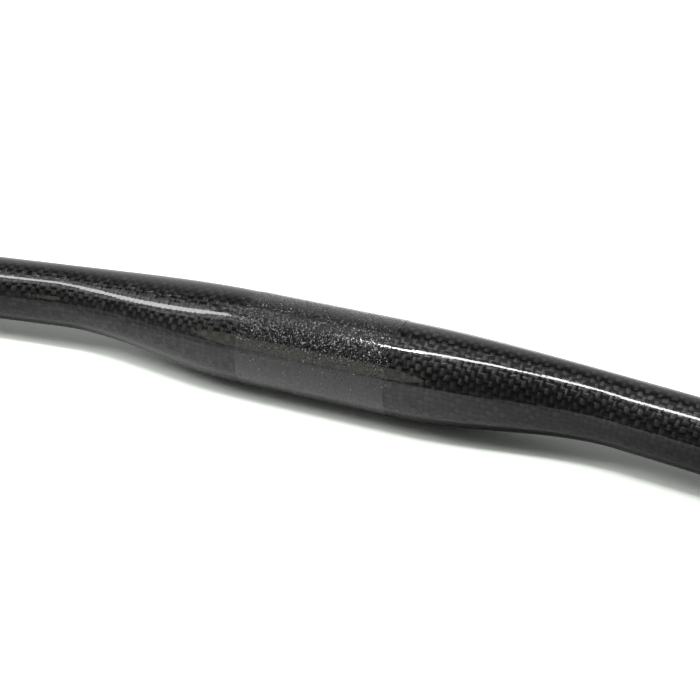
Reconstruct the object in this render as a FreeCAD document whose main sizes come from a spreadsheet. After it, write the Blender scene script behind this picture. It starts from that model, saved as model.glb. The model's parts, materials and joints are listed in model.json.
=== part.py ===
import FreeCAD, Part
import os
import Sketcher

# One-piece flat handlebar, a hollow tube lying on a table: it rests on the belly of
# its thick middle and on both swept-back tips.
# Origin: middle of the clamp cylinder. +X runs along that cylinder, +Z is up, and the
# grips sweep back towards -Y.

NODE = "handlebar"
LOFT_STEPS = 6

os.makedirs("parts", exist_ok=True)
doc = FreeCAD.newDocument("flat_handlebar")

# Driving dimensions, in millimetres and degrees
DIMENSIONS = {
    "bar_width": 720,        # from tip to tip
    "clamp_diameter": 31.8,  # over the rough band that a stem grips
    "clamp_length": 58,      # straight middle
    "band_width": 52,        # rough band on the straight middle
    "band_rise": 0.1,        # how far the band stands above the smooth tube
    "grip_diameter": 22.2,   # straight outer tubes
    "back_sweep": 6.5,       # turn of each grip towards the rider
    "bend_reach": 110,       # from the middle to where a grip's axis meets the clamp's
    "grip_lead": 10,         # straight grip tube on the near side of that meeting point
    "clamp_wall": 2.4,
    "grip_wall": 2.0,
    "tip_chamfer": 0.4,      # broken edges of the cut tube ends
}
sheet = doc.addObject("Spreadsheet::Sheet", "dims")
for row, (alias, size) in enumerate(DIMENSIONS.items(), start=1):
    sheet.set(f"A{row}", alias)
    sheet.set(f"B{row}", str(size))
    sheet.setAlias(f"B{row}", alias)
doc.recompute()

# Sizes and places that follow from them, as expressions
SWEEP = "dims.back_sweep * 1 deg"
GRIP_START_X = f"(dims.bend_reach - dims.grip_lead * cos({SWEEP}))"
GRIP_START_Y = f"(dims.grip_lead * sin({SWEEP}))"
GRIP_RUN = f"((dims.bar_width / 2 - dims.bend_reach) / cos({SWEEP}) + dims.grip_lead)"
CLAMP_END = "(dims.clamp_length / 2)"
HANDLE = f"((dims.bend_reach - dims.grip_lead - {CLAMP_END}) / 3)"
BAND_RADIUS = "(dims.clamp_diameter / 2)"
CLAMP_RADIUS = f"({BAND_RADIUS} - dims.band_rise)"
GRIP_RADIUS = "(dims.grip_diameter / 2)"
CLAMP_BORE = f"({CLAMP_RADIUS} - dims.clamp_wall)"
GRIP_BORE = f"({GRIP_RADIUS} - dims.grip_wall)"
TIP_SETBACK = f"((dims.bar_width / 2 - dims.bend_reach) * tan({SWEEP}))"
REST_TILT = f"asin(({BAND_RADIUS} - {GRIP_RADIUS}) / {TIP_SETBACK})"

# The bar is drawn flat in the body's XY plane. The body then leans about the clamp's
# axis until the tips reach the table.
body = doc.addObject("PartDesign::Body", NODE)
body.Label = NODE
lean = FreeCAD.Rotation(FreeCAD.Vector(1, 0, 0), 1)
body.Placement = FreeCAD.Placement(FreeCAD.Vector(), lean)
body.setExpression("Placement.Rotation.Angle", REST_TILT)
planes = {plane.Role: plane for plane in body.Origin.OriginFeatures}


def bezier(share, points):
    """Expression for a cubic Bezier curve's value at a share of its run."""
    rest = 1 - share
    weights = (rest**3, 3 * share * rest**2, 3 * share**2 * rest, share**3)
    return " + ".join(f"{weight:.9f} * {point}" for weight, point in zip(weights, points))


def bezier_slope(share, points):
    """Expression for the same curve's rate of change."""
    rest = 1 - share
    weights = (rest**2, 2 * share * rest, share**2)
    spans = zip(weights, points[1:], points[:-1])
    return " + ".join(f"{3 * weight:.9f} * ({after} - {before})" for weight, after, before in spans)


def disc(name, radius, along="0", across="0", turn="0 deg"):
    """Circle sketch across the bar, centred and turned in the bend plane."""
    sketch = body.newObject("Sketcher::SketchObject", name)
    sketch.AttachmentSupport = (planes["YZ_Plane"], "")
    sketch.MapMode = "FlatFace"
    upright = FreeCAD.Rotation(FreeCAD.Vector(0, 1, 0), 1)
    sketch.AttachmentOffset = FreeCAD.Placement(FreeCAD.Vector(), upright)
    sketch.setExpression("AttachmentOffset.Base.z", along)
    sketch.setExpression("AttachmentOffset.Base.x", across)
    sketch.setExpression("AttachmentOffset.Rotation.Angle", turn)
    ring = sketch.addGeometry(Part.Circle(), False)
    sketch.addConstraint(Sketcher.Constraint("Coincident", ring, 3, -1, 1))
    size = sketch.addConstraint(Sketcher.Constraint("Radius", ring, 1))
    sketch.setExpression(f"Constraints[{size}]", radius)
    return sketch


def middle(kind, name, radius, length):
    """Straight run about the middle of the bar."""
    section = disc(f"{name}_section", radius)
    run = body.newObject(kind, name)
    run.Profile = section
    run.SideType = "Symmetric"
    run.setExpression("Length", length)
    return run


def taper(kind, name, clamp_radius, grip_radius):
    """Smooth bend and taper from the straight middle to a grip."""
    along = (
        CLAMP_END,
        f"({CLAMP_END} + {HANDLE})",
        f"({GRIP_START_X} - {HANDLE} * cos({SWEEP}))",
        GRIP_START_X,
    )
    across = ("0", "0", f"({GRIP_START_Y} + {HANDLE} * sin({SWEEP}))", GRIP_START_Y)
    radii = (clamp_radius, clamp_radius, grip_radius, grip_radius)
    sections = []
    for step in range(LOFT_STEPS + 1):
        share = step / LOFT_STEPS
        turn = f"atan2({bezier_slope(share, across)}; {bezier_slope(share, along)})"
        place = {"along": bezier(share, along), "across": bezier(share, across), "turn": turn}
        sections.append(disc(f"{name}_section_{step}", bezier(share, radii), **place))
    loft = body.newObject(kind, name)
    loft.Profile = sections[0]
    loft.Sections = sections[1:]
    return loft


def grip(kind, name, radius):
    """Straight tube from the end of the taper to the tip."""
    section = disc(f"{name}_section", radius, GRIP_START_X, GRIP_START_Y, f"-{SWEEP}")
    run = body.newObject(kind, name)
    run.Profile = section
    run.setExpression("Length", GRIP_RUN)
    run.Reversed = kind == "PartDesign::Pocket"
    return run


def mirror(name, features):
    """The same features on the other side of the bar."""
    copy = body.newObject("PartDesign::Mirrored", name)
    copy.Originals = features
    copy.MirrorPlane = (planes["YZ_Plane"], [""])
    body.Tip = copy
    return copy


# Outside: straight middle, a taper and a grip to each side, and the rough band
middle("PartDesign::Pad", "clamp", CLAMP_RADIUS, "dims.clamp_length")
right_taper = taper("PartDesign::AdditiveLoft", "right_taper", CLAMP_RADIUS, GRIP_RADIUS)
right_grip = grip("PartDesign::Pad", "right_grip", GRIP_RADIUS)
doc.recompute()
mirror("left_side", [right_taper, right_grip])
band = middle("PartDesign::Pad", "rough_band", BAND_RADIUS, "dims.band_width")
doc.recompute()

# Inside: the same run again, less the walls
clamp_bore = middle("PartDesign::Pocket", "clamp_bore", CLAMP_BORE, "dims.clamp_length")
taper_bore = taper("PartDesign::SubtractiveLoft", "taper_bore", CLAMP_BORE, GRIP_BORE)
grip_bore = grip("PartDesign::Pocket", "grip_bore", GRIP_BORE)
doc.recompute()
left_bore = mirror("left_bore", [taper_bore, grip_bore])
doc.recompute()

# Broken edges round both mouths: the rims of the flat faces farthest out
flat_faces = [face for face in left_bore.Shape.Faces if isinstance(face.Surface, Part.Plane)]
flat_faces.sort(key=lambda face: abs(face.CenterOfMass.x))
rims = [edge for face in flat_faces[-2:] for edge in face.Edges]
rim_names = [
    f"Edge{number}"
    for number, edge in enumerate(left_bore.Shape.Edges, start=1)
    if any(edge.isSame(rim) for rim in rims)
]
tip_edges = body.newObject("PartDesign::Chamfer", "tip_edges")
tip_edges.Base = (left_bore, rim_names)
tip_edges.setExpression("Size", "dims.tip_chamfer")
doc.recompute()

for item in doc.Objects:
    if "Invalid" in item.State or "Error" in item.State:
        raise RuntimeError(f"{item.Name} did not build: {item.State}")
cuts = [band, clamp_bore, taper_bore, grip_bore, left_bore, tip_edges]
for before, after in zip(cuts, cuts[1:]):
    if after.Shape.Volume >= before.Shape.Volume:
        raise RuntimeError(f"{after.Name} took nothing away")
if body.Shape.isNull() or not body.Shape.isValid() or len(body.Shape.Solids) != 1:
    raise RuntimeError("the bar is not one sound solid")
body.Shape.exportStep(f"parts/{body.Label}.step")
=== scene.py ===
import json
import math

import bpy
import numpy as np
from mathutils import Matrix, Vector

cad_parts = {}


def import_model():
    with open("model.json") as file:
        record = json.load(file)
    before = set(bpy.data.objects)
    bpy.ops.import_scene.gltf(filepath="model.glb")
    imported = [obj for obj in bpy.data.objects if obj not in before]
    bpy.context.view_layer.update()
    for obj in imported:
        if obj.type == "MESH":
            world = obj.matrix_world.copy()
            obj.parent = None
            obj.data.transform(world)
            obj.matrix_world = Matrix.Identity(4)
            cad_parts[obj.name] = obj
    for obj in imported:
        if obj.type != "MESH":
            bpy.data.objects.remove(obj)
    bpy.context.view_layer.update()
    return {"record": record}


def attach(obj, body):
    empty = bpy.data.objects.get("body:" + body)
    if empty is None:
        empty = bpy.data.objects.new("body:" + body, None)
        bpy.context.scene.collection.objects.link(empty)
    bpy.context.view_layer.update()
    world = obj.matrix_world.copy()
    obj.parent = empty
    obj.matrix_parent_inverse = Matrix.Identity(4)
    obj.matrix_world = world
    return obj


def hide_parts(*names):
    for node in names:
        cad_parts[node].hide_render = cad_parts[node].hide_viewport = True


# Flat handlebar of woven carbon fibre under a gloss clear coat, lying on a white table.
# Everything is in metres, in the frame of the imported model.

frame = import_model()

MM = 0.001
NODE = "handlebar"

# The bar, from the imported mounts
mounts = {mount["name"]: mount for mount in frame["record"]["mounts"]}
clamp_size = mounts["stem_clamp"]["dims"]
grip_size = mounts["grip_right"]["dims"]
grip_axis = Vector(mounts["grip_right"]["axis"])
grip_run = grip_size["length_mm"] * MM
grip_start = Vector(mounts["grip_right"]["pos_m"]) - grip_axis * grip_run / 2

BAND_RISE = 0.1 * MM
BAND_HALF = 26 * MM
CLAMP_WALL = 2.4 * MM
TIP_CHAMFER = 0.4 * MM
band_radius = clamp_size["r_mm"] * MM
clamp_radius = band_radius - BAND_RISE
clamp_half = clamp_size["length_mm"] * MM / 2
clamp_bore = clamp_radius - CLAMP_WALL
grip_radius = grip_size["r_mm"] * MM
grip_bore = mounts["mouth_right"]["dims"]["r_mm"] * MM

# The plane of the bends: along the clamp, towards the rider, and its upward normal
ALONG = Vector((1, 0, 0))
rear = Vector((0, grip_axis.y, grip_axis.z)).normalized()
lift = rear.cross(ALONG)

# How finely the skins are divided
RING_POINTS = 160
CLAMP_RINGS = 5
TAPER_RINGS = 81
GRIP_RINGS = 17
TIP_RINGS = 3
SHARP_EDGE = math.radians(30)

# Cloth: plain-woven tows
TOW = 1.92 * MM               # width of a tow
CRIMP = 0.075 * MM            # how far a tow sinks towards the ends of each float
TOW_ROLL = 0.3                # the same across the tow, as a share
TOW_LEAN = 0.12               # each float leans its own way
TOW_DRIFT = 1.6               # how unevenly the tows lie
DRIFT_SIZE = 9 * MM
SWAY_SIZE = 7 * MM
TOW_GREYS = (0.016, 0.032)
FLOAT_SHADE = (0.2, 0.75)     # darkest in the gaps, palest in the middle of a float
TOW_ROUGHNESS = (0.31, 0.35)
TOW_EDGE = 0.1                # reflection of a tow seen edge-on
FIBRE_SIZE = 0.35 * MM
RIPPLE_SIZE = 3 * MM
RIPPLE = 0.15 * MM
QUARTER_TURN = 0.25

# Clear coat: a gloss skin that waves a little and swells over each float
COAT_IOR = 1.355
COAT_ROUGHNESS = 0.02
WAVE_SIZE = 4 * MM
WAVE = 0.012 * MM
SWELL = 0.009 * MM

# Rough coat: a film with ragged ends and some tilted facets, and crystal grains set in it
FILM_STEP = 0.5 * MM
FILM_RAGGED = 0.3 * MM
FILM_SINK = 0.2 * MM
FILM_GREYS = (0.001, 0.004)
FILM_SPECK = 0.3 * MM
FILM_ROUGHNESS = 0.07
FACET_ROUGHER = 0.12
FACET_SIZE = 0.2 * MM
FACET_SHARE = 0.45
FACET_SLOPE = 0.6
FLAT_SLOPE = 0.05
GRAINS_PER_MM2 = 2.2
GRAIN_SIDES = 5
GRAIN_RADIUS = (0.11 * MM, 0.22 * MM)
GRAIN_SLOPE = (math.radians(4), math.radians(25))
GRAIN_TOP = 0.12 * MM
GRAIN_SINK = 0.003 * MM
GRAIN_SCATTER = 0.5 * MM
GRAIN_UNEVEN = 0.2
GRAIN_GREYS = (0.002, 0.008)
GRAIN_SPECK = 0.25 * MM
GRAIN_ROUGHNESS = (0.15, 0.20)
# A share of the grains is painted pale: painted glints that stand in for sparse specks of light
GLINT_GRAIN_SHARE = 0.04
PAINTED_GLINT_GREY = 0.3
GRIT_IOR = 1.57
SEED = 4

# Wall inside, and sawn tips
BORE_GREYS = (0.012, 0.035)
BORE_ROUGHNESS = (0.45, 0.65)
WRINKLE_STRETCH = (0.15, 1.0, 1.0)
WRINKLE_SIZE = 2.5 * MM
WRINKLE = 0.2 * MM
CUT_GREYS = (0.02, 0.075)
CUT_ROUGHNESS = (0.5, 0.75)
DUST_SIZE = 0.15 * MM
DUST = 0.03 * MM

# Where most of a smooth noise lies
NOISE_SPAN = (0.3, 0.7)

# The view, measured on the photograph
CAMERA_AZIMUTH = 22.05
CAMERA_ELEVATION = 31.318
CAMERA_DISTANCE = 411.355 * MM
CAMERA_TARGET = Vector((8.499, 0, 3.126)) * MM
CAMERA_LENS = 64.765

# Table. In the bar's gloss it carries a painted pool of light: brightest near the middle, fading
# sideways. Far out it fades into a white backdrop.
TABLE_SIZE = 12
TABLE_WHITES = (0.86, 0.88)
TABLE_MOTTLE = 30 * MM
TABLE_ROUGHNESS = 0.9
TABLE_SHOWN = (1.16, 1.21, 1.14, 1.0)
# Painted pool of light in the bar's gloss: its middle, its greys from middle to side, and where it
# fades
LIGHT_POOL_MIDDLE = -0.02
PAINTED_POOL_GREYS = (1.36, 0.5)
PAINTED_POOL_FADE = (0.02, 0.17)
BACKDROP = (0.36, 0.9)

# Room, as the bar mirrors it. Each pair is where a part of it starts and where it is full, on
# one axis of the direction.
ROOM_LOW = 0.04
ROOM_TOP = 0.14
ROOM_LEFT = 0.26
ROOM_RISE = (0.3, 0.8)
LEFT_SIDE = (-0.35, -0.75)
FRONT_SIDE = (0.0, -0.35)
SWEEP_BEHIND = (0.0, 0.4)
SWEEP_HEIGHT = (0.85, 0.45)
SWEEP_SIDE = (0.5, -0.25)

# Lamps
KEY_PLACE = Vector((0, 0, 2.5))
FAR_PLACE = Vector((-0.075, 0, 0.5))
STRIP_OFFSET = -0.07
STRIP_SLOPE = 0.45
CARD_MIDDLE = Vector((-100, -265, 80)) * MM
CARD_SIZE = (220 * MM, 140 * MM)
CARD_RADIANCE = 1.1
CARD_COLOUR = (1.0, 1.0, 0.88)
PANEL_MIDDLE = Vector((-550, 350, 100)) * MM
PANEL_SIZE = (300 * MM, 200 * MM)
PANEL_RADIANCE = 4.4


def bezier(points, share):
    """Places on a cubic Bezier curve at the given shares of its run."""
    rest = 1 - share
    weights = (rest**3, 3 * share * rest**2, 3 * share**2 * rest, share**3)
    return sum(np.multiply.outer(weight, point) for weight, point in zip(weights, points))


def half_bar():
    """Stations from the middle to the right tip: places in the bend plane, outer and inner radii."""
    start = np.array((clamp_half, 0))
    end = np.array((grip_start.x, grip_start.dot(rear)))
    heading = np.array((grip_axis.x, grip_axis.dot(rear)))
    handle = (end[0] - start[0]) / 3
    share = np.linspace(0, 1, TAPER_RINGS)
    bend = (start, start + (handle, 0), end - handle * heading, end)
    straight = np.linspace(0, clamp_half, CLAMP_RINGS)[:-1]
    grip_steps = np.linspace(0, grip_run, GRIP_RINGS)[1:]
    places = np.concatenate((
        np.stack((straight, np.zeros_like(straight)), axis=1),
        bezier(bend, share),
        end + np.multiply.outer(grip_steps, heading),
    ))

    def radii(thick, thin):
        taper = bezier(np.array((thick, thick, thin, thin)), share)
        return np.concatenate((np.full(len(straight), thick), taper, np.full(len(grip_steps), thin)))

    return places, radii(clamp_radius, grip_radius), radii(clamp_bore, grip_bore)


def whole_bar():
    """The same stations from the left tip to the right tip, with the run measured from the middle."""
    places, outer, inner = half_bar()
    places = np.concatenate((places[:0:-1] * (-1, 1), places))
    outer = np.concatenate((outer[:0:-1], outer))
    inner = np.concatenate((inner[:0:-1], inner))
    headings = np.gradient(places, axis=0)
    headings[0] = places[1] - places[0]
    headings[-1] = places[-1] - places[-2]
    headings /= np.linalg.norm(headings, axis=1, keepdims=True)
    steps = np.linalg.norm(np.diff(places, axis=0), axis=1)
    run = np.concatenate(((0,), np.cumsum(steps)))
    return places, headings, run - run[-1] / 2, outer, inner


def ring_angles(count):
    """Angles round the bar, from the underside over the rear and the top back to the underside."""
    return np.linspace(-math.pi, math.pi, count + 1)


def ring_points(places, headings, radii, angles):
    """Points of rings across the bar: one row per station, one column per angle from the top."""
    centres = np.multiply.outer(places[:, 0], ALONG) + np.multiply.outer(places[:, 1], rear)
    sides = np.multiply.outer(-headings[:, 1], ALONG) + np.multiply.outer(headings[:, 0], rear)
    upward = np.multiply.outer(np.cos(angles), lift)
    sideways = np.sin(angles)[:, None] * sides[:, None]
    return centres[:, None] + radii[..., None] * (upward + sideways)


def outward(angles):
    """Directions out of the straight middle, by angle from the top."""
    return np.multiply.outer(np.cos(angles), lift) + np.multiply.outer(np.sin(angles), rear)


def ring_mesh(name, points, cloth):
    """A closed mesh from rings of points that follow each other round the wall, with its cloth map."""
    rings, count = points.shape[:2]
    ring, column = np.meshgrid(np.arange(rings), np.arange(count), indexing="ij")
    after = (ring + 1) % rings
    beside = (column + 1) % count
    corners = ((ring, column), (ring, beside), (after, beside), (after, column))
    faces = np.stack([row * count + place for row, place in corners], axis=-1).reshape(-1, 4)
    mesh = bpy.data.meshes.new(name)
    mesh.from_pydata(points.reshape(-1, 3).tolist(), [], faces.tolist())
    seam = ((ring, column), (ring, column + 1), (after, column + 1), (after, column))
    corner_cloth = np.stack([cloth[row, place] for row, place in seam], axis=-2)
    layer = mesh.uv_layers.new(name="cloth")
    layer.uv.foreach_set("vector", corner_cloth.reshape(-1).astype(np.float32))
    mesh.shade_smooth()
    piece = bpy.data.objects.new(name, mesh)
    bpy.context.scene.collection.objects.link(piece)
    return piece


def finish_rings(piece, count, runs):
    """Gives each run of rings its own material: runs of (rings, material)."""
    indices = []
    for number, (rings, material) in enumerate(runs):
        piece.data.materials.append(material)
        indices += [number] * (rings * count)
    piece.data.polygons.foreach_set("material_index", indices)


def tube(materials):
    """The hollow bar: outer skin, cut tips with broken edges, and the wall inside."""
    places, headings, run, outer, inner = whole_bar()
    right = places[-1] + TIP_CHAMFER * headings[-1]
    left = places[0] - TIP_CHAMFER * headings[0]
    back = slice(None, None, -1)
    rings = (
        (places, headings, outer, run),
        (right[None], headings[-1:], outer[-1:] - TIP_CHAMFER, run[-1:]),
        (right[None], headings[-1:], inner[-1:] + TIP_CHAMFER, run[-1:]),
        (places[back], headings[back], inner[back], run[back]),
        (left[None], headings[:1], inner[:1] + TIP_CHAMFER, run[:1]),
        (left[None], headings[:1], outer[:1] - TIP_CHAMFER, run[:1]),
    )
    places, headings, radii, run = (np.concatenate(rows) for rows in zip(*rings))
    angles = ring_angles(RING_POINTS)
    points = ring_points(places, headings, radii[:, None], angles[:-1])
    girth = radii[:, None] * angles
    cloth = np.stack((np.broadcast_to(run[:, None], girth.shape), girth), axis=-1)
    piece = ring_mesh("carbon_tube", points, cloth)
    skin = len(outer) - 1
    finish_rings(piece, RING_POINTS, (
        (skin, materials["carbon"]),
        (TIP_RINGS, materials["cut"]),
        (skin, materials["bore"]),
        (TIP_RINGS, materials["cut"]),
    ))
    piece.data.set_sharp_from_angle(angle=SHARP_EDGE)
    return piece


def rough_film(material):
    """Sleeve of gloss binder on the clamp, with ragged ends sunk into the tube."""
    chance = np.random.default_rng(SEED)
    columns = round(2 * math.pi * band_radius / FILM_STEP)
    angles = ring_angles(columns)
    ragged = chance.uniform(-FILM_RAGGED, FILM_RAGGED, (2, columns))
    left = ragged[0] - BAND_HALF
    right = ragged[1] + BAND_HALF
    along = np.stack((left, right, right, left))
    sunk = band_radius - FILM_SINK
    radii = np.array((band_radius, band_radius, sunk, sunk))
    points = along[..., None] * np.array(ALONG) + radii[:, None, None] * outward(angles[:-1])
    wrap = np.concatenate((along, along[:, :1]), axis=1)
    cloth = np.stack((wrap, np.broadcast_to(band_radius * angles, wrap.shape)), axis=-1)
    piece = ring_mesh("rough_film", points, cloth)
    piece.data.materials.append(material)
    piece.data.set_sharp_from_angle(angle=SHARP_EDGE)
    return piece


def rough_grains(material):
    """Crystal grains: low, uneven pyramids seated in the film, or on the tube past its ragged ends."""
    chance = np.random.default_rng(SEED)
    girth = 2 * math.pi * band_radius
    count = round(2 * BAND_HALF * girth / MM**2 * GRAINS_PER_MM2)
    along = chance.uniform(-BAND_HALF, BAND_HALF, count) + chance.normal(0, GRAIN_SCATTER, count)
    around = chance.uniform(0, girth, count)
    radius = chance.uniform(*GRAIN_RADIUS, count)
    slope = np.sqrt(chance.uniform(GRAIN_SLOPE[0]**2, GRAIN_SLOPE[1]**2, count))
    height = np.minimum(radius * np.tan(slope), GRAIN_TOP)
    side = np.arange(GRAIN_SIDES)
    turn = chance.uniform(0, 2 * math.pi, (count, 1)) + side * 2 * math.pi / GRAIN_SIDES
    reach = radius[:, None] * chance.uniform(1 - GRAIN_UNEVEN, 1 + GRAIN_UNEVEN, (count, GRAIN_SIDES))
    lean = radius[:, None] * chance.uniform(-GRAIN_UNEVEN, GRAIN_UNEVEN, (count, 2))
    foot_along = along[:, None] + reach * np.cos(turn)
    foot_around = around[:, None] + reach * np.sin(turn)
    place = np.column_stack((foot_along, along + lean[:, 0]))
    angle = np.column_stack((foot_around, around + lean[:, 1])) / band_radius
    off_middle = np.abs(along)
    seat = np.where(off_middle < BAND_HALF - FILM_RAGGED, band_radius, clamp_radius)
    crown = np.where(off_middle < BAND_HALF + FILM_RAGGED, band_radius, clamp_radius) + height
    level = np.column_stack((np.repeat(seat[:, None], GRAIN_SIDES, axis=1), crown)) - GRAIN_SINK
    points = place[..., None] * np.array(ALONG) + level[..., None] * outward(angle)
    first = np.arange(count) * (GRAIN_SIDES + 1)
    corners = np.stack((side, np.full(GRAIN_SIDES, GRAIN_SIDES), (side + 1) % GRAIN_SIDES), axis=-1)
    sides = (first[:, None, None] + corners).reshape(-1, 3)
    feet = first[:, None] + side
    mesh = bpy.data.meshes.new("rough_grains")
    mesh.from_pydata(points.reshape(-1, 3).tolist(), [], sides.tolist() + feet.tolist())
    mesh.materials.append(material)
    piece = bpy.data.objects.new("rough_grains", mesh)
    bpy.context.scene.collection.objects.link(piece)
    return piece


def grey(value):
    """An opaque grey."""
    return (value, value, value, 1.0)


class Nodes:
    """Short-hand for building one node tree."""

    def __init__(self, tree):
        self.tree = tree
        tree.nodes.clear()

    def add(self, kind, inputs=None, **settings):
        """A new node, with its inputs set or joined and its settings made."""
        node = self.tree.nodes.new(kind)
        for name, value in settings.items():
            setattr(node, name, value)
        for socket, value in (inputs or {}).items():
            self.put(node.inputs[socket], value)
        return node

    def put(self, socket, value):
        """Joins an output to the socket, or sets a plain value on it."""
        if isinstance(value, bpy.types.NodeSocket):
            self.tree.links.new(value, socket)
        else:
            socket.default_value = value

    def math(self, operation, *values):
        return self.add("ShaderNodeMath", dict(enumerate(values)), operation=operation).outputs[0]

    def vector(self, operation, *values):
        inputs = dict(enumerate(values))
        return self.add("ShaderNodeVectorMath", inputs, operation=operation).outputs[0]

    def ramp(self, value, low, high, bottom=0.0, top=1.0):
        """A smooth step of the value from bottom at low to top at high."""
        limits = {"Value": value, "From Min": low, "From Max": high, "To Min": bottom, "To Max": top}
        node = self.add("ShaderNodeMapRange", limits, interpolation_type="SMOOTHSTEP")
        return node.outputs["Result"]

    def blend(self, share, first, second):
        """A colour between two, by share."""
        mix = self.add("ShaderNodeMix", data_type="RGBA")
        sockets = (mix.inputs[0], mix.inputs[6], mix.inputs[7])
        for socket, value in zip(sockets, (share, first, second)):
            self.put(socket, value)
        return mix.outputs[2]

    def shade(self, share, dark, light):
        """A grey between two, by share."""
        return self.blend(share, grey(dark), grey(light))

    def noise(self, vector, size, detail=2.0):
        """Smooth noise from 0 to 1 with features of the given size in metres."""
        inputs = {"Vector": vector, "Scale": 1 / size, "Detail": detail}
        return self.add("ShaderNodeTexNoise", inputs).outputs["Fac"]

    def bump(self, height, distance, normal=None):
        """A normal that follows a height, over another normal if one is given."""
        inputs = {"Height": height, "Distance": distance}
        if normal is not None:
            inputs["Normal"] = normal
        return self.add("ShaderNodeBump", inputs).outputs["Normal"]

    def leaning(self, normal, colour, steepness):
        """A normal that leans its own way, by how far a random colour is from middle grey."""
        off_grey = self.vector("SUBTRACT", colour, (0.5, 0.5, 0.5))
        lean = self.add("ShaderNodeVectorMath", {0: off_grey, "Scale": steepness}, operation="SCALE")
        return self.vector("NORMALIZE", self.vector("ADD", normal, lean.outputs[0]))


def surface(name):
    """A new material's node tree, with its principled shader joined to the output."""
    material = bpy.data.materials.new(name)
    material.use_nodes = True
    nodes = Nodes(material.node_tree)
    shader = nodes.add("ShaderNodeBsdfPrincipled")
    nodes.add("ShaderNodeOutputMaterial", {"Surface": shader.outputs["BSDF"]})
    return material, nodes, shader


def carbon_material():
    """Plain-woven carbon tows under a gloss clear coat."""
    material, nodes, shader = surface("woven_carbon")
    place = nodes.add("ShaderNodeTexCoord").outputs["Object"]
    cloth = nodes.add("ShaderNodeUVMap", uv_map="cloth").outputs["UV"]

    # The cloth in tow widths, and which way the upper tow runs in each of its cells
    split = nodes.add("ShaderNodeSeparateXYZ", {"Vector": cloth})
    drift = nodes.math("MULTIPLY", nodes.noise(place, DRIFT_SIZE), TOW_DRIFT)
    sway = nodes.math("MULTIPLY", nodes.noise(place, SWAY_SIZE), TOW_DRIFT)
    along = nodes.math("ADD", nodes.math("DIVIDE", split.outputs["X"], TOW), drift)
    around = nodes.math("ADD", nodes.math("DIVIDE", split.outputs["Y"], TOW), sway)
    column = nodes.math("FLOOR", along)
    row = nodes.math("FLOOR", around)
    lengthwise = nodes.math("FLOORED_MODULO", nodes.math("ADD", column, row), 2.0)

    # Each float arches down its run and rolls off across it: 0 at its crown, -1 at its ends
    off_along = nodes.math("POWER", nodes.math("SUBTRACT", nodes.math("FRACT", along), 0.5), 2.0)
    off_around = nodes.math("POWER", nodes.math("SUBTRACT", nodes.math("FRACT", around), 0.5), 2.0)
    spread = nodes.math("ADD", off_along, off_around)
    swing = nodes.math("MULTIPLY", lengthwise, nodes.math("SUBTRACT", off_along, off_around))
    down_tow = nodes.math("ADD", off_around, swing)
    across_tow = nodes.math("MULTIPLY", nodes.math("SUBTRACT", spread, down_tow), TOW_ROLL)
    arch = nodes.math("MULTIPLY", nodes.math("ADD", down_tow, across_tow), -4.0)

    # 1 in the middle of a float, 0 at the corners of its cell
    dome = nodes.math("SUBTRACT", 1.0, nodes.math("MULTIPLY", spread, 2.0))

    cell = nodes.add("ShaderNodeCombineXYZ", {"X": column, "Y": row}).outputs["Vector"]
    chance = nodes.add("ShaderNodeTexWhiteNoise", {"Vector": cell}).outputs
    tow_colour = nodes.shade(chance["Value"], *TOW_GREYS)
    tone = nodes.ramp(dome, *FLOAT_SHADE)
    nodes.put(shader.inputs["Base Color"], nodes.blend(tone, grey(TOW_GREYS[0]), tow_colour))
    nodes.put(shader.inputs["Metallic"], 1.0)
    nodes.put(shader.inputs["Specular Tint"], grey(TOW_EDGE))
    fibres = nodes.noise(place, FIBRE_SIZE, detail=3.0)
    nodes.put(shader.inputs["Roughness"], nodes.ramp(fibres, *NOISE_SPAN, *TOW_ROUGHNESS))
    nodes.put(shader.inputs["Anisotropic"], 1.0)
    fibre_turn = nodes.math("MULTIPLY", lengthwise, QUARTER_TURN)
    nodes.put(shader.inputs["Anisotropic Rotation"], fibre_turn)
    tangent = nodes.add("ShaderNodeTangent", direction_type="UV_MAP", uv_map="cloth")
    nodes.put(shader.inputs["Tangent"], tangent.outputs["Tangent"])
    ripple = nodes.bump(nodes.noise(place, RIPPLE_SIZE), RIPPLE)
    woven = nodes.bump(arch, CRIMP, ripple)
    nodes.put(shader.inputs["Normal"], nodes.leaning(woven, chance["Color"], TOW_LEAN))

    nodes.put(shader.inputs["Coat Weight"], 1.0)
    nodes.put(shader.inputs["Coat Roughness"], COAT_ROUGHNESS)
    nodes.put(shader.inputs["Coat IOR"], COAT_IOR)
    wave = nodes.bump(nodes.noise(place, WAVE_SIZE, detail=1.0), WAVE)
    nodes.put(shader.inputs["Coat Normal"], nodes.bump(dome, SWELL, wave))
    return material


def film_material():
    """Gloss black binder of the rough coat: nearly flat, with a share of small tilted facets."""
    material, nodes, shader = surface("rough_coat_film")
    place = nodes.add("ShaderNodeTexCoord").outputs["Object"]
    specks = nodes.noise(place, FILM_SPECK, detail=3.0)
    cells = nodes.add("ShaderNodeTexVoronoi", {"Vector": place, "Scale": 1 / FACET_SIZE})
    facet = cells.outputs["Color"]
    chance = nodes.add("ShaderNodeTexWhiteNoise", {"Vector": facet}).outputs["Value"]
    raised = nodes.math("LESS_THAN", chance, FACET_SHARE)
    steepness = nodes.math("MULTIPLY_ADD", raised, FACET_SLOPE, FLAT_SLOPE)
    facing = nodes.add("ShaderNodeNewGeometry").outputs["Normal"]
    roughness = nodes.math("MULTIPLY_ADD", raised, FACET_ROUGHER, FILM_ROUGHNESS)
    nodes.put(shader.inputs["Base Color"], nodes.shade(specks, *FILM_GREYS))
    nodes.put(shader.inputs["Roughness"], roughness)
    nodes.put(shader.inputs["IOR"], GRIT_IOR)
    nodes.put(shader.inputs["Normal"], nodes.leaning(facing, facet, steepness))
    return material


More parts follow.
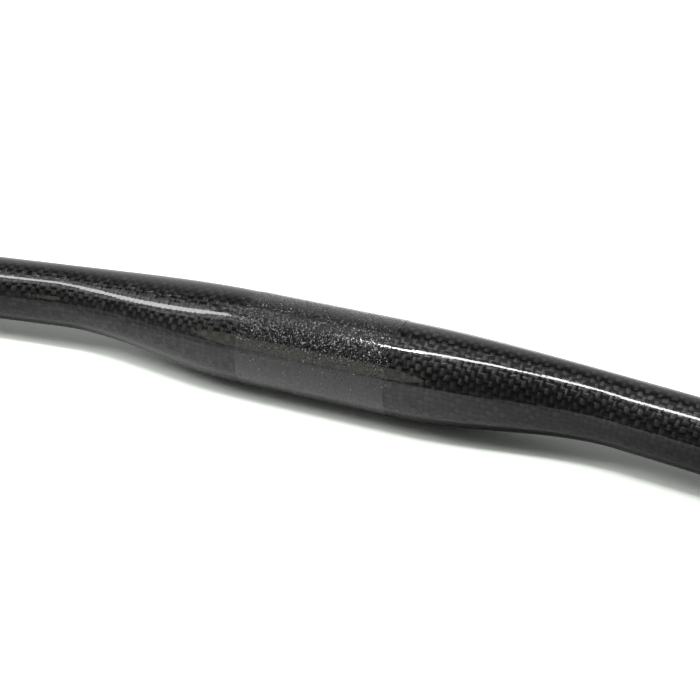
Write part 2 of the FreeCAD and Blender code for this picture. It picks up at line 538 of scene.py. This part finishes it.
def grain_material():
    """Black crystal grains whose sides glint, and a few painted pale: painted glints that stand in for
    sparse specks of light.
    """
    material, nodes, shader = surface("rough_coat_grains")
    place = nodes.add("ShaderNodeTexCoord").outputs["Object"]
    specks = nodes.noise(place, GRAIN_SPECK)
    black = nodes.shade(specks, *GRAIN_GREYS)
    chance = nodes.add("ShaderNodeNewGeometry").outputs["Random Per Island"]
    # Painted glints: a few grains are painted pale to stand in for sparse specks of light
    painted_glint = nodes.math("LESS_THAN", chance, GLINT_GRAIN_SHARE)
    nodes.put(shader.inputs["Base Color"], nodes.blend(painted_glint, black, grey(PAINTED_GLINT_GREY)))
    nodes.put(shader.inputs["IOR"], GRIT_IOR)
    nodes.put(shader.inputs["Roughness"], nodes.ramp(specks, *NOISE_SPAN, *GRAIN_ROUGHNESS))
    return material


def bore_material():
    """Dull moulded wall inside, with faint wrinkles along the bar."""
    material, nodes, shader = surface("bore_wall")
    place = nodes.add("ShaderNodeTexCoord").outputs["Object"]
    stretched = nodes.add("ShaderNodeMapping", {"Vector": place, "Scale": WRINKLE_STRETCH})
    wrinkles = nodes.noise(stretched.outputs["Vector"], WRINKLE_SIZE, detail=4.0)
    nodes.put(shader.inputs["Base Color"], nodes.shade(wrinkles, *BORE_GREYS))
    nodes.put(shader.inputs["Roughness"], nodes.ramp(wrinkles, *NOISE_SPAN, *BORE_ROUGHNESS))
    nodes.put(shader.inputs["Normal"], nodes.bump(wrinkles, WRINKLE))
    return material


def cut_material():
    """Sawn laminate at the tips, dull with fibre dust."""
    material, nodes, shader = surface("cut_laminate")
    place = nodes.add("ShaderNodeTexCoord").outputs["Object"]
    dust = nodes.noise(place, DUST_SIZE, detail=4.0)
    nodes.put(shader.inputs["Base Color"], nodes.shade(dust, *CUT_GREYS))
    nodes.put(shader.inputs["Roughness"], nodes.ramp(dust, *NOISE_SPAN, *CUT_ROUGHNESS))
    nodes.put(shader.inputs["Normal"], nodes.bump(dust, DUST))
    return material


def table_material():
    """Plain white, lit from within only where it turns into the backdrop, with a painted pool of light
    in the bar's gloss.
    """
    material, nodes, shader = surface("white_table")
    place = nodes.add("ShaderNodeTexCoord").outputs["Object"]
    white = nodes.shade(nodes.noise(place, TABLE_MOTTLE), *TABLE_WHITES)
    path = nodes.add("ShaderNodeLightPath").outputs
    mirrored = nodes.math("MAXIMUM", path["Is Glossy Ray"], path["Is Transmission Ray"])
    shown = nodes.math("MAXIMUM", path["Is Camera Ray"], mirrored)
    # Painted pool of light: in the bar's gloss the table is painted brightest near the middle and
    # darker sideways
    sideways = nodes.add("ShaderNodeSeparateXYZ", {"Vector": place}).outputs["X"]
    off_middle = nodes.math("ABSOLUTE", nodes.math("SUBTRACT", sideways, LIGHT_POOL_MIDDLE))
    painted_light_pool = nodes.ramp(off_middle, *PAINTED_POOL_FADE, *PAINTED_POOL_GREYS)
    seen = nodes.blend(mirrored, TABLE_SHOWN, painted_light_pool)
    nodes.put(shader.inputs["Base Color"], nodes.blend(shown, white, seen))
    distance = nodes.add("ShaderNodeVectorMath", {0: place}, operation="LENGTH").outputs["Value"]
    backdrop = nodes.math("MULTIPLY", shown, nodes.ramp(distance, *BACKDROP))
    nodes.put(shader.inputs["Emission Color"], grey(1.0))
    nodes.put(shader.inputs["Emission Strength"], backdrop)
    nodes.put(shader.inputs["Roughness"], TABLE_ROUGHNESS)
    nodes.put(shader.inputs["Specular IOR Level"], 0.0)
    material.cycles.emission_sampling = "NONE"
    return material


def table():
    """Table under the bar, just clear of the tallest grains."""
    half = TABLE_SIZE / 2
    level = -(band_radius + GRAIN_TOP)
    corners = [(-half, -half, level), (half, -half, level), (half, half, level), (-half, half, level)]
    mesh = bpy.data.meshes.new("table")
    mesh.from_pydata(corners, [], [(0, 1, 2, 3)])
    mesh.materials.append(table_material())
    piece = bpy.data.objects.new("table", mesh)
    bpy.context.scene.collection.objects.link(piece)


def world():
    """White to the camera. The bar mirrors a white sweep behind it and, elsewhere, a dim room."""
    sky = bpy.data.worlds.new("studio")
    sky.use_nodes = True
    bpy.context.scene.world = sky
    nodes = Nodes(sky.node_tree)
    direction = nodes.add("ShaderNodeTexCoord").outputs["Generated"]
    split = nodes.add("ShaderNodeSeparateXYZ", {"Vector": direction}).outputs
    high = nodes.ramp(split["Z"], *ROOM_RISE)
    left = nodes.ramp(split["X"], *LEFT_SIDE)
    front = nodes.ramp(split["Y"], *FRONT_SIDE)
    dim = nodes.shade(high, ROOM_LOW, ROOM_TOP)
    room = nodes.blend(nodes.math("MULTIPLY", left, front), dim, grey(ROOM_LEFT))
    behind = nodes.ramp(split["Y"], *SWEEP_BEHIND)
    low = nodes.ramp(split["Z"], *SWEEP_HEIGHT)
    leftward = nodes.ramp(split["X"], *SWEEP_SIDE)
    sweep = nodes.math("MULTIPLY", nodes.math("MULTIPLY", behind, low), leftward)
    camera_ray = nodes.add("ShaderNodeLightPath").outputs["Is Camera Ray"]
    white = nodes.math("MAXIMUM", camera_ray, sweep)
    background = nodes.add("ShaderNodeBackground", {"Color": nodes.blend(white, room, grey(1.0))})
    nodes.add("ShaderNodeOutputWorld", {"Surface": background.outputs["Background"]})


def lamp(name, middle, long_way, length, width, radiance, colour=(1, 1, 1), shape="RECTANGLE"):
    """Area lamp at a place, facing the bar and hidden from the camera."""
    light = bpy.data.lights.new(name, "AREA")
    light.shape = shape
    light.size = length
    light.size_y = width
    light.energy = radiance * math.pi * length * width
    light.color = colour
    facing = middle.normalized()
    long_way = (long_way - facing * long_way.dot(facing)).normalized()
    turn = Matrix((long_way, facing.cross(long_way), facing)).transposed()
    holder = bpy.data.objects.new(name, light)
    holder.matrix_world = Matrix.Translation(middle) @ turn.to_4x4()
    holder.visible_camera = False
    bpy.context.scene.collection.objects.link(holder)
    return holder


def strip(name, place, start, end, width, radiance, offset=STRIP_OFFSET):
    """Strip lamp overhead. Its ends, width and offset are shares of its height, seen from below it."""
    first = place + Vector((start, offset + STRIP_SLOPE * start, 0)) * place.z
    last = place + Vector((end, offset + STRIP_SLOPE * end, 0)) * place.z
    lamp(name, (first + last) / 2, last - first, (last - first).length, width * place.z, radiance)


def camera():
    """The photograph's view."""
    azimuth = math.radians(CAMERA_AZIMUTH)
    elevation = math.radians(CAMERA_ELEVATION)
    level = math.cos(elevation)
    back = Vector((math.sin(azimuth) * level, -math.cos(azimuth) * level, math.sin(elevation)))
    lens = bpy.data.cameras.new("camera")
    lens.lens = CAMERA_LENS
    holder = bpy.data.objects.new("camera", lens)
    holder.location = CAMERA_TARGET + back * CAMERA_DISTANCE
    holder.rotation_euler = back.to_track_quat("Z", "Y").to_euler()
    bpy.context.scene.collection.objects.link(holder)
    bpy.context.scene.camera = holder


bar = tube({"carbon": carbon_material(), "cut": cut_material(), "bore": bore_material()})
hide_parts(NODE)
for piece in (bar, rough_film(film_material()), rough_grains(grain_material())):
    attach(piece, "root")

table()
world()

# The key lamps make the highlight on the right and the far ones that on the left. The panel only
# fills the shadow, and the card shows only in the gloss.
strip("key_strip", KEY_PLACE, start=0.06, end=-0.20, width=0.09, radiance=40)
strip("key_core", KEY_PLACE, start=-0.19, end=-0.295, width=0.06, radiance=115)
strip("far_strip", FAR_PLACE, start=-0.41, end=-1.12, width=0.155, radiance=17.5, offset=-0.075)
strip("far_glow", FAR_PLACE, start=-0.46, end=-1.12, width=0.55, radiance=1.7)
strip("key_glow", KEY_PLACE, start=0.20, end=-0.44, width=0.70, radiance=0.7, offset=0.15)
panel = lamp("side_panel", PANEL_MIDDLE, ALONG, *PANEL_SIZE, PANEL_RADIANCE)
panel.visible_glossy = False
card = lamp("front_card", CARD_MIDDLE, ALONG, *CARD_SIZE, CARD_RADIANCE, CARD_COLOUR, "ELLIPSE")
card.visible_diffuse = False
camera()
bpy.context.scene.view_settings.view_transform = "Standard"
